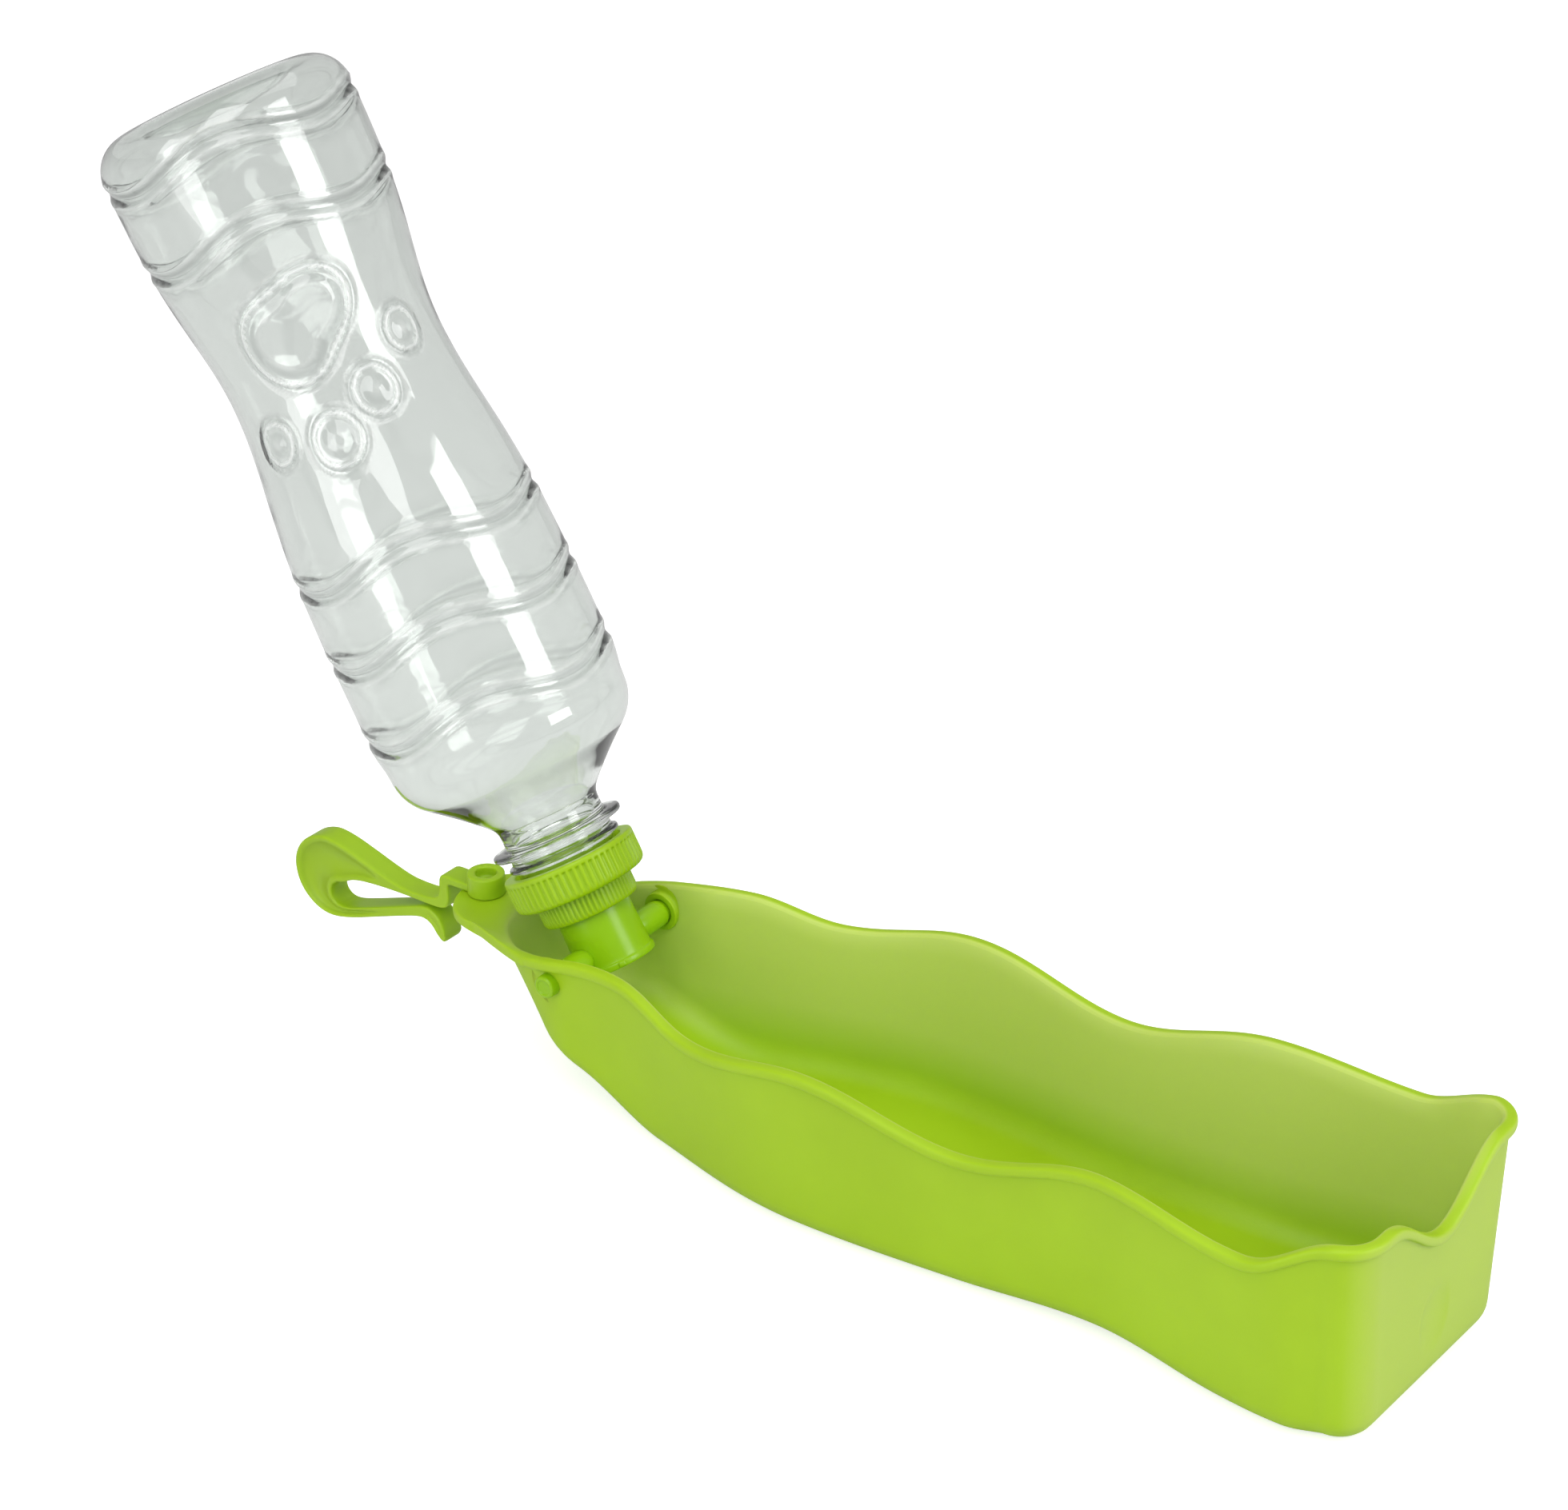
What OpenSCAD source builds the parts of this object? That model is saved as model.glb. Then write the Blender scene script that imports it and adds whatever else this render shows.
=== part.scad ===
// Travel water bottle for a dog: a clear bottle that screws neck down into a
// green cap, on a hollow barrel hinged between the walls of a long wavy trough.
// The bottle folds down into the trough, and a spring hook swivels on the
// trough's tail. X runs along the trough, Y across it, and the middle of the
// trough's flat underside is the origin.

/* [Hinge] */
// Height of the bottle's hinge axis above the ground
pivot_z = 34; // [33.5:0.1:35]
// How far the bottle stands from lying in the trough, in degrees
lean = 120; // [100:1:130]
// Radius of the hinge pins
pin_r = 2.9; // [2.4:0.1:3.2]
// Radial play of the hinge pins in the trough's walls
pin_play = 0.08; // [0.05:0.01:0.1]
// Distance from the middle to the end of each hinge pin
pin_end = 24.8; // [24:0.1:26]

/* [Trough] */
// Length from the hinge to the far end wall
trough_reach = 226; // [225:1:232]
// Thickness of the walls and floor
wall = 1.8; // [1.4:0.1:2]
// Radius of the round lower edge
foot_round = 7; // [5:0.5:8]
// Radius of the upright corners at the far end
corner_round = 9; // [7:0.5:10]
// How much the floor rises under the hinge
keel_rise = 10; // [6:0.5:11]
// Height of the rolled bead on the rim
bead_h = 3.2; // [2.4:0.1:4]
// How far the bead stands out from the wall
bead_out = 1.4; // [0.8:0.1:1.8]
// Height of the top of the tail and of the rim behind the hinge
tail_z = 36; // [35:0.5:37]
// Radius of the tail's nose
nose_r = 14; // [13:0.5:15]

/* [Bottle] */
// Largest radius of the bottle's body
body_r = 31.5; // [30:0.1:31.6]
// Thickness of the bottle's wall
skin = 0.7; // [0.5:0.05:1]
// Depth of the waist
waist_depth = 5.1; // [3:0.1:6]
// Distance from the hinge to the bottle's base
base_s = 221; // [216:0.5:221.5]
// Radius of the ring below the bottle's neck
neck_ring_r = 16.5; // [16:0.1:17]

/* [Cap and barrel] */
// Radius of the large knurled ring
cap_r = 16.7; // [16.2:0.1:17.2]
// Radius of the small knurled ring
step_r = 12.2; // [12:0.1:12.8]
// Number of ribs round the cap
ribs = 60; // [40:2:72]
// Radius of the barrel at its lower end
barrel_r = 9.6; // [9.2:0.1:9.8]
// Radius of the two water ports
port_r = 1.9; // [1.4:0.1:2.2]
// Angle from shut to open of the cap on the barrel, in degrees
port_turn = 90; // [80:1:100]

/* [Belt hook] */
// Width of the hook
hook_w = 6.5; // [5.5:0.1:7.5]
// Depth of the recess in each side of the hook
web_recess = 0.8; // [0.4:0.1:1.2]
// Radius of the stud that turns in the tail
stud_r = 3; // [2.6:0.1:3.2]

/* [Hidden] */
lime = [0.63, 0.79, 0.18];
deep_lime = [0.56, 0.75, 0.08];
clear = [0.86, 0.89, 0.87, 0.35];
rubber = [0.16, 0.17, 0.16];
$fn = 72;
// The hinge stands this far from the middle of the trough's underside
hinge_x = -112;

// Peaks and dips of the rim's height, each as distance from the hinge and height
rim_line = [[-29, tail_z], [24, 44.3], [47, 40.1], [84, 46],
    [124, 39.6], [164, 48.2], [199, 45], [221, 53.4]];
// Peaks and dips of the half width at the rim
rim_width = [[4, 23], [77, 36.2], [147, 33.7], [203, 38.4], [220, 34.8]];
// Peaks and dips of the half width at the ground
foot_width = [[4, 20], [78, 32.8], [155, 28.4], [207, 34.3], [220, 31]];
// The underside rises under the hinge and a little at the waist, and is flat in between
keel_from = -6;
keel_to = 32;
foot_line = [[keel_from, keel_rise], [keel_to, 0], [120, 0], [155, 1.5], [190, 0], [220, 0]];
// The far end wall's notch: lowest height, height of the corners and half width
notch_z = 41.5;
ear_z = 53.4;
notch_w = 24;
// Behind this place the outline is half an ellipse
arc_x = 4;
rim_back = -29;
foot_back = -10;
end_draft = 1.2;

function mix(a, b, t) = a + (b - a) * t;
function ease(t) = (1 - cos(180 * min(1, max(0, t)))) / 2;
function arc(c, r, from, to, n) = [for (i = [0:n]) let (a = mix(from, to, i / n)) c + r * [cos(a), sin(a)]];
// A line through peaks and dips that is level at each of them
function along(line, x) =
    let (last = len(line) - 1,
         i = max([0, for (k = [0:last - 1]) if (line[k][0] <= x) k]),
         span = line[i + 1][0] - line[i][0])
    mix(line[i][1], line[i + 1][1], ease((x - line[i][0]) / span));

// The outline of the trough seen from above, as stations on one side from the
// back to the far end: the back's arc, the side, the corner and the end wall
back_n = 14;
side_n = 36;
corner_n = 5;
end_n = 6;
stations = concat(
    [for (i = [0:back_n - 1]) [0, i / back_n]],
    [for (i = [0:side_n - 1]) [1, i / side_n]],
    [for (i = [0:corner_n - 1]) [2, i / corner_n]],
    [for (i = [0:end_n]) [3, i / end_n]]);

function half_width(x, f) = mix(along(foot_width, x), along(rim_width, x), f);
// A point of the outline at the share f of the wall's height, d inside the wall
function outline(st, f, d) =
    let (x_end = trough_reach - end_draft * (1 - f),
         x_side = x_end - corner_round,
         w_end = half_width(x_side, f) - corner_round,
         back = mix(foot_back, rim_back, f) + d,
         a = 90 * st[1],
         x = mix(arc_x, x_side, st[1]),
         r = corner_round - d)
    st[0] == 0 ? [arc_x - (arc_x - back) * cos(a), (half_width(arc_x, f) - d) * sin(a)] :
    st[0] == 1 ? [x, half_width(x, f) - d] :
    st[0] == 2 ? [x_side + r * sin(a), w_end + r * cos(a)] :
    [x_end - d, w_end * (1 - st[1])];
// The tail's edge: the nose's arc, then straight to the rim's bead
tail_join = 68;
nose_c = [-31, 0];
function tail_edge(st) =
    let (a = 90 * st[1],
         u = (a - 45) / (tail_join - 45),
         joint = outline([0, tail_join / 90], 1, -bead_out))
    a < 45 ? nose_c + nose_r * [-cos(2 * a), sin(2 * a)] : mix(nose_c + [0, nose_r], joint, u);
// A point of the rim, which reaches out to the tail's edge behind the hinge
function rim_point(st, f, d) =
    let (face = outline(st, f, 0),
         edge = tail_edge(st),
         out = (edge - face) / norm(edge - face))
    st[0] == 0 && 90 * st[1] < tail_join && d < wall - 0.5 && d != 0
        ? edge - (bead_out + d) * out : outline(st, f, d);
function rim_z(st) =
    let (p = outline(st, 1, 0))
    st[0] == 3 ? mix(notch_z, ear_z, ease(p[1] / notch_w)) : along(rim_line, p[0]);
function foot_z(st) = along(foot_line, outline(st, 0, 0)[0]);

// The wall's section from the outer foot over the rim to the inner foot. Each
// row is the height kind, the height and the distance inside the wall's face
foot_steps = [0, 30, 60, 90];
inner_round = foot_round - wall;
rows = concat(
    [for (b = foot_steps) ["foot", foot_round * (1 - cos(b)), foot_round * (1 - sin(b))]],
    [for (g = [1, 2]) ["wall", g / 3, 0]],
    [["rim", bead_h + 0.4, 0], ["rim", bead_h - 0.3, -0.75 * bead_out],
     ["rim", bead_h / 2, -bead_out], ["rim", 0.8, -0.9 * bead_out],
     ["rim", 0.2, -0.4 * bead_out], ["rim", 0, 0.3], ["rim", 0, wall - 0.5], ["rim", 0.5, wall]],
    [for (g = [2, 1]) ["wall", g / 3, wall]],
    [for (i = [3:-1:0]) let (b = foot_steps[i])
        ["foot", wall + inner_round * (1 - cos(b)), wall + inner_round * (1 - sin(b))]]);
function row_z(row, lo, hi) =
    row[0] == "foot" ? lo + row[1] :
    row[0] == "rim" ? hi - row[1] :
    mix(lo + foot_round, hi - bead_h - 1, row[1]);

module trough_shell() {
    m = len(stations);
    ring = 2 * m - 2;
    points = [for (row = rows) for (j = [0:ring - 1])
        let (near = j < m,
             st = stations[near ? j : ring - j],
             lo = foot_z(st),
             hi = rim_z(st),
             z = row_z(row, lo, hi),
             f = (z - lo) / (hi - lo),
             p = row[0] == "rim" ? rim_point(st, f, row[2]) : outline(st, f, row[2]))
        [p[0], near ? -p[1] : p[1], z]];
    last = len(rows) - 1;
    sides = [for (i = [0:last - 1]) for (j = [0:ring - 1])
        let (k = (j + 1) % ring, a = i * ring, b = (i + 1) * ring)
        each [[a + j, b + j, b + k], [a + j, b + k, a + k]]];
    // Strips across the floor, with a fan at the straight end wall
    c = m - 2 - end_n;
    floor_faces = concat([[0, 1, ring - 1]],
        [for (j = [1:c - 1]) each [[j, j + 1, ring - j - 1], [j, ring - j - 1, ring - j]]],
        [for (k = [c + 1:ring - c - 1]) [c, k, k + 1]]);
    top = last * ring;
    inner_floor = [for (t = floor_faces) [top + t[0], top + t[2], top + t[1]]];
    polyhedron(points, concat(sides, floor_faces, inner_floor));
}

stud_x = -38.5;
collar_r = 4.9;
collar_in = 19.4;
collar_out = 21.2;
module trough() {
    color(lime) translate([hinge_x, 0, 0]) difference() {
        union() {
            trough_shell();
            for (side = [-1, 1])
                translate([0, side * (collar_in + collar_out) / 2, pivot_z]) rotate([90, 0, 0])
                    cylinder(r = collar_r, h = collar_out - collar_in, center = true);
        }
        translate([0, 0, pivot_z]) rotate([90, 0, 0])
            cylinder(r = pin_r + pin_play, h = 2 * pin_end + 4, center = true);
        translate([stud_x, 0, tail_z - 8]) cylinder(r = stud_r + pin_play, h = 16);
    }
}

// The hook's outline seen from the side, as distance from the hinge and height
bend_c = [-89, 25.5];
bend_r = 11.6;
slot_c = [-85, 21.4];
slot_r = 3.6;
bridge_z = tail_z + 0.25;
hook_outline = concat(
    [[stud_x, bridge_z + 2.1], [-50.2, bridge_z + 2.1], [-51.2, bridge_z + 1.1], [-51.4, 32.4],
     [-52.4, 31], [-54.6, 30.4], [-62, 30.1], [-66, 30.5], [-71, 31.9], [-77, 33.9]],
    arc(bend_c, bend_r, 68, 268, 24),
    [[-82, 15.6], [-74.4, 18.4], [-59.6, 23.6], [-56.8, 23.9], [-54.6, 22.7], [-53.2, 20.6],
     [-51.8, 19.2], [-50.7, 19.6], [-50.6, 22.2], [-51.6, 24.8], [-53.4, 26.6], [-55.8, 27.3],
     [-58.2, 27], [-61, 26], [-78, 19.9]],
    arc(slot_c, slot_r, -70, -255, 14),
    [[-80, 27.4], [-72, 28.2], [-60, 28.5], [-51, 28.3], [-49.2, 29], [-48.6, 30.6], [-48.6, bridge_z],
     [stud_x, bridge_z]]);
boss_r = 4.7;
boss_top = 41.6;
// The stud's snap head starts this high, below the tail
snap_z = 30.6;
// Only the hook's bend and arms are recessed, in this frame
web_frame = [[-105, 10], [43, 40]];
module belt_hook() {
    side_face = hook_w / 2;
    color(lime) translate([hinge_x, 0, 0]) difference() {
        union() {
            difference() {
                rotate([90, 0, 0]) linear_extrude(hook_w, center = true) polygon(hook_outline);
                for (side = [0, 1])
                    mirror([0, side, 0]) translate([0, side_face + 1, 0]) rotate([90, 0, 0])
                        linear_extrude(web_recess + 1) intersection() {
                            offset(delta = -1.5) polygon(hook_outline);
                            translate(web_frame[0]) square(web_frame[1]);
                        }
            }
            translate([stud_x, 0, bridge_z]) cylinder(r = boss_r, h = boss_top - bridge_z);
            translate([stud_x, 0, snap_z]) cylinder(r = stud_r, h = bridge_z - snap_z + 1);
            translate([stud_x, 0, snap_z]) cylinder(r1 = stud_r - 0.2, r2 = stud_r + 0.8, h = 1.6);
        }
        translate([stud_x, 0, 30]) cylinder(r = 1.5, h = 20);
        translate([stud_x, 0, boss_top - 2.6]) cylinder(r = 2.6, h = 4);
    }
}

// Everything on the bottle's axis is drawn along Z from the hinge, then leaned
module on_axis() {
    translate([hinge_x, 0, pivot_z]) rotate([0, 90 - lean, 0]) children();
}

// The arms run from the barrel to the trough's collars
arm_r = 3.35;
arm_end = collar_in - 0.4;
barrel_foot = -4.8;
barrel_bore = 7.6;
// The flange that the cap snaps over, and the deck that holds the ports
flange_s = 10.7;
flange_r = 10.5;
deck_s = 12.4;
deck_h = 2;
seat_s = 13.8;
port_circle = 4.6;
barrel_face = [
    [0, barrel_foot], [barrel_r + 0.1, barrel_foot], [barrel_r + 0.4, barrel_foot + 0.3],
    [barrel_r + 0.4, barrel_foot + 1.5], [barrel_r, barrel_foot + 1.7], [barrel_r - 0.4, 9.3],
    [barrel_r - 0.4, flange_s], [flange_r, flange_s], [flange_r, deck_s - 0.3],
    [flange_r - 0.3, deck_s], [0, deck_s]];
module pivot_barrel() {
    color(deep_lime) on_axis() difference() {
        union() {
            rotate_extrude() polygon(barrel_face);
            rotate([90, 0, 0]) cylinder(r = arm_r, h = 2 * arm_end, center = true);
            rotate([90, 0, 0]) cylinder(r = pin_r, h = 2 * pin_end, center = true);
        }
        translate([0, 0, barrel_foot - 1]) cylinder(r = barrel_bore, h = deck_s - deck_h - barrel_foot + 1);
        for (side = [-1, 1])
            translate([side * port_circle, 0, 0]) cylinder(r = port_r, h = 20);
    }
}

// The ports' rubber disc lies on the deck, with the sealing ring round it
disc_r = 8.8;
module valve_disc() {
    color(rubber) on_axis() difference() {
        translate([0, 0, deck_s]) cylinder(r = disc_r, h = seat_s - deck_s);
        for (side = [-1, 1])
            translate([side * port_circle, 0, 0]) cylinder(r = port_r, h = 20);
    }
}

module o_ring() {
    cord_r = (seat_s - deck_s) / 2;
    color(rubber) on_axis() translate([0, 0, deck_s + cord_r])
        rotate_extrude() translate([disc_r + 0.9, 0]) circle(r = cord_r - 0.02, $fn = 24);
}

// A ring of ribs with slanted flanks, whose tops reach past the radius and are turned off to it later
module ribbed(r, depth, h) {
    step = 360 / ribs;
    rib = [[-0.3, r - depth], [-0.06, r + depth], [0.06, r + depth], [0.3, r - depth]];
    linear_extrude(h) polygon([for (i = [0:ribs - 1]) for (p = rib)
        let (a = (i + p[0]) * step) p[1] * [cos(a), sin(a)]]);
}

step_s = 9.6;
ring_s = 15.4;
cap_floor_s = 16.3;
cap_top_s = 24.2;
thread_bore = 13.9;
rib_depth = 0.55;
rim_band = 1.4;
module screw_cap() {
    round_over = [
        [0, step_s], [step_r - 1.4, step_s], [step_r - 0.4, step_s + 0.5], [step_r, step_s + 1.5],
        [step_r, ring_s], [cap_r - 1.7, ring_s], [cap_r - 0.5, ring_s + 0.5], [cap_r, ring_s + 1.7],
        [cap_r, cap_top_s - 1.2], [cap_r - 0.5, cap_top_s - 0.3], [cap_r - 1, cap_top_s],
        [0, cap_top_s]];
    color(deep_lime) on_axis() difference() {
        intersection() {
            union() {
                translate([0, 0, step_s - 1]) ribbed(step_r, rib_depth, ring_s - step_s + 2);
                translate([0, 0, ring_s - 0.2]) ribbed(cap_r, rib_depth, cap_top_s - ring_s + 1);
                translate([0, 0, cap_top_s - rim_band]) cylinder(r = cap_r + 1, h = rim_band + 1);
            }
            rotate_extrude() polygon(round_over);
        }
        translate([0, 0, step_s - 1]) cylinder(r = barrel_r + 0.05, h = 4);
        translate([0, 0, flange_s - 0.1]) cylinder(r = flange_r + 0.1, h = seat_s + 0.2 - flange_s);
        translate([0, 0, cap_floor_s]) cylinder(r = thread_bore, h = 10);
        rotate([0, 0, port_turn]) for (side = [-1, 1])
            translate([side * port_circle, 0, 5]) cylinder(r = port_r, h = 20);
    }
}

lip_s = 17.6;
module neck_washer() {
    color(rubber) on_axis() translate([0, 0, cap_floor_s + 0.02]) difference() {
        cylinder(r = thread_bore - 0.7, h = lip_s - cap_floor_s - 0.04);
        translate([0, 0, -1]) cylinder(r = 9, h = 5);
    }
}

waist_s = 153;
shoulder_s = 58;
heel_r = 9;
neck_r = 12.9;
neck_bore = 10.8;
// The body's radius at a distance from the hinge: the waist fades faster towards the base
function body_at(s) =
    let (fade = s < waist_s ? 31 : 26)
    body_r - waist_depth * exp(-pow((s - waist_s) / fade, 2));
// The bottle's outer face in stretches, each point as radius and distance from the hinge
neck = [
    [0, lip_s], [12.4, lip_s], [12.6, lip_s + 0.3], [12.6, 18.6], [13.4, 19.4], [13.4, 22.6],
    [12.6, 23.4], [12.6, 25.2], [14.2, 25.4], [14.2, 26.4], [neck_r, 26.8], [neck_r, 29],
    [neck_ring_r - 0.3, 29.2], [neck_ring_r, 29.6], [neck_ring_r, 30.4], [neck_ring_r - 0.3, 30.8],
    [neck_r, 31], [neck_r - 0.2, 35.2], [13.2, 36.4], [15, 38.2]];
shoulder = arc([body_r - 14, shoulder_s], 13, -47, -6, 6);
body = [for (s = [64:6:208]) [body_at(s), s]];
heel_c = [body_r - heel_r, base_s - heel_r];
heel = arc(heel_c, heel_r, 0, 84, 6);
punt = [[18, base_s - 0.9], [9, base_s - 3.6], [0, base_s - 4.6]];
module bottle() {
    outer = concat(neck, shoulder, body, heel, punt);
    inner = concat([[0, lip_s - 1], [neck_bore, lip_s - 1], [neck_bore, 34.6], [12.4, 36.9], [14.5, 39]],
        [for (p = shoulder) p - skin * [cos(20), -sin(45)]],
        [for (p = body) p - [skin, 0]],
        arc(heel_c, heel_r - skin, 0, 84, 6),
        [for (p = punt) p - [0, skin]]);
    color(clear) on_axis() difference() {
        rotate_extrude() polygon(outer);
        rotate_extrude() polygon(inner);
    }
}

trough();
belt_hook();
pivot_barrel();
valve_disc();
o_ring();
screw_cap();
neck_washer();
bottle();
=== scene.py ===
import math

import bmesh
import bpy
import numpy as np
from mathutils import Matrix, Vector


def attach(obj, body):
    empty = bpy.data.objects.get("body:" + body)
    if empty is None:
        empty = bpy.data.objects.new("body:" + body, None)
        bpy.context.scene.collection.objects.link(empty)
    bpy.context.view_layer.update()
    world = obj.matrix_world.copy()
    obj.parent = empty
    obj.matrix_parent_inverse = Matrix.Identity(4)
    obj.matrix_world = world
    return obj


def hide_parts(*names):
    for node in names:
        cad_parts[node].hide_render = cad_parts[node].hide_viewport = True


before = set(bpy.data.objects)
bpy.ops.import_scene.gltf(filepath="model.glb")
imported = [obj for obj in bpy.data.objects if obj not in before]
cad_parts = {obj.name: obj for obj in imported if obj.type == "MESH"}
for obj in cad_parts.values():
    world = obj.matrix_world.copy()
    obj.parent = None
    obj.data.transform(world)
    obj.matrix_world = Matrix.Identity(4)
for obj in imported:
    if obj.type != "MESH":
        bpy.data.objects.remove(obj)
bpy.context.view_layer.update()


# ---------------------------------------------------------------- camera
# The photograph was taken with a long lens from in front of the trough's
# near wall, looking down at the whole product at about 28 degrees.
eye = Vector((0.4525, -0.6662, 0.5428))
heading, dip, roll = (math.radians(a) for a in (127.47, -27.72, -1.12))
photo_width, focal_length = 1960, 5256  # pixels
film_width = 36  # mm
looking = Vector((math.cos(dip) * math.cos(heading), math.cos(dip) * math.sin(heading),
                  math.sin(dip)))
level = looking.cross(Vector((0, 0, 1))).normalized()
upright = level.cross(looking)
frame_right = level * math.cos(roll) + upright * math.sin(roll)
frame_up = upright * math.cos(roll) - level * math.sin(roll)
lens = bpy.data.cameras.new("long lens")
lens.sensor_width = film_width
lens.lens = film_width * focal_length / photo_width
camera = bpy.data.objects.new("camera", lens)
bpy.context.scene.collection.objects.link(camera)
camera.matrix_world = (Matrix.Translation(eye)
                       @ Matrix((frame_right, frame_up, -looking)).transposed().to_4x4())
bpy.context.scene.camera = camera
bpy.context.scene.view_settings.view_transform = "Standard"


# ---------------------------------------------------------------- trough
# The drinking trough is one thin polypropylene moulding. Its walls swell and
# narrow in waves, the rim is rolled outwards into a bead, and at the hinge's
# end the rim spreads into a flat tail that carries the belt hook.
# The meshes are drawn in millimetres from the hinge's foot, which lies here in the frame, in metres.
hinge = np.array([-0.112, 0.0, 0.0])
pivot = (0.0, 0.0, 34.0)
reach = 226.0
wall = 1.8
foot_round = 7.0
corner_round = 9.0
end_draft = 1.2
bead_height, below_bead = 3.2, 0.9
bead_out = 1.4
nose_middle, nose_radius = np.array([-31.0, 0.0]), 14.0
arc_x, rim_back, foot_back = 4.0, -29.0, -10.0
# Degrees round the back's arc where the nose ends and where the tail joins the rim
nose_end, tail_join = 45.0, 68.0
tail_ease = 0.35
# Heights and half widths at places along the trough: peaks and dips that the walls ease between
rim_line = [
    (-29, 36), (24, 44.3), (47, 40.1), (84, 46), (124, 39.6), (164, 48.2), (199, 45), (221, 53.4)]
rim_width = [
    (4, 23), (77, 36.2), (147, 33.7), (203, 38.4), (220, 34.8)]
foot_line = [
    (-6, 10), (32, 0), (120, 0), (155, 1.5), (190, 0), (221, 0)]
foot_width = [
    (4, 20), (78, 32.8), (155, 28.4), (207, 34.3), (220, 31)]
notch_low, ear_top, notch_width = 41.5, 53.4, 24.0


def ease(t):
    """Half a cosine wave: 0 to 1 while t goes from 0 to 1, level at both ends."""
    return (1 - np.cos(np.pi * np.clip(t, 0, 1))) / 2


def along(line, x):
    """A height that eases from each listed (place, height) to the next."""
    places, heights = np.array(line, float).T
    i = np.clip(np.searchsorted(places, x) - 1, 0, len(places) - 2)
    t = (x - places[i]) / (places[i + 1] - places[i])
    return heights[i] + (heights[i + 1] - heights[i]) * ease(t)


def rounded(points, times):
    """Cuts the corners of an open line: each pass keeps the points at 1/4 and 3/4 of every stretch."""
    p = np.array(points, float)
    for _ in range(times):
        cut = np.stack([0.75 * p[:-1] + 0.25 * p[1:], 0.25 * p[:-1] + 0.75 * p[1:]], 1)
        p = np.concatenate([p[:1], cut.reshape(-1, p.shape[1]), p[-1:]])
    return p


def surface(name, points, round_u=False, round_v=False, merge=1e-6):
    """A mesh over a grid of points in millimetres from the hinge's foot. Its rows run along u and its
    columns along v, round_u and round_v close them to a ring, and points that meet are merged."""
    nu, nv = points.shape[:2]
    index = np.arange(nu * nv).reshape(nu, nv)
    if round_u:
        index = np.vstack([index, index[:1]])
    if round_v:
        index = np.hstack([index, index[:, :1]])
    quads = np.stack([index[:-1, :-1], index[1:, :-1], index[1:, 1:], index[:-1, 1:]], -1).reshape(-1, 4)
    mesh = bpy.data.meshes.new(name)
    mesh.from_pydata((points.reshape(-1, 3) / 1000 + hinge).tolist(), [], quads.tolist())
    grid = bmesh.new()
    grid.from_mesh(mesh)
    bmesh.ops.remove_doubles(grid, verts=grid.verts, dist=merge)
    bmesh.ops.dissolve_degenerate(grid, edges=grid.edges, dist=merge / 2)
    bmesh.ops.recalc_face_normals(grid, faces=grid.faces)
    grid.to_mesh(mesh)
    grid.free()
    mesh.polygons.foreach_set("use_smooth", np.ones(len(mesh.polygons), bool))
    piece = bpy.data.objects.new(name, mesh)
    bpy.context.scene.collection.objects.link(piece)
    return piece


# Stations round one side, as (kind, share): 0 the back's arc, 1 the side, 2 the corner, 3 the end wall
counts = (56, 190, 14, 44)
kind = np.concatenate([np.full(n + (k == 3), k) for k, n in enumerate(counts)])
share = np.concatenate([np.arange(n + (k == 3)) / n for k, n in enumerate(counts)])


def half_width(x, f):
    """The trough's half width at x, from the foot's (f = 0) to the rim's (f = 1)."""
    return (1 - f) * along(foot_width, x) + f * along(rim_width, x)


def outline(f, d):
    """The outline seen from above at share f of the wall's height and d inside its face: a quarter of an
    ellipse at the back, the waved side, a quarter circle at the corner and the straight end wall."""
    x_end = reach - end_draft * (1 - f)
    x_side = x_end - corner_round
    w_end = half_width(x_side, f) - corner_round
    back = (1 - f) * foot_back + f * rim_back + d
    a = np.pi / 2 * share
    x = arc_x + (x_side - arc_x) * share
    r = corner_round - d
    xs = np.choose(kind, [arc_x - (arc_x - back) * np.cos(a), x, x_side + r * np.sin(a), x_end - d])
    ys = np.choose(kind, [(half_width(arc_x, f) - d) * np.sin(a), half_width(x, f) - d,
                          w_end + r * np.cos(a), w_end * (1 - share)])
    return np.stack([xs, ys], -1)


# The tail's edge: the nose's arc, then straight to the rim's bead
back_turn = 90 * share
in_tail = (kind == 0) & (back_turn < tail_join)
tail_end = outline(1.0, -bead_out)[np.argmax(~in_tail)]
nose_turn = np.radians(2 * back_turn)
nose = nose_middle + nose_radius * np.stack([-np.cos(nose_turn), np.sin(nose_turn)], -1)
past_nose = (back_turn - nose_end) / (tail_join - nose_end)
blend = (tail_ease * ease(past_nose) + (1 - tail_ease) * past_nose)[:, None]
tail_side = (1 - blend) * (nose_middle + [0, nose_radius]) + blend * tail_end
tail_edge = np.where((back_turn < nose_end)[:, None], nose, tail_side)

lip = outline(1.0, 0.0)
rim_height = np.where(kind == 3, notch_low + (ear_top - notch_low) * ease(lip[:, 1] / notch_width),
                      along(rim_line, lip[:, 0]))
foot_height = along(foot_line, outline(0.0, 0.0)[:, 0])


def foot_curve(radius, inset, turns):
    """The quarter round at the wall's foot, as rows of the section below."""
    return [(inset + radius * (1 - math.cos(b)), 0, 0, inset + radius * (1 - math.sin(b)), 0)
            for b in turns]


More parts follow.
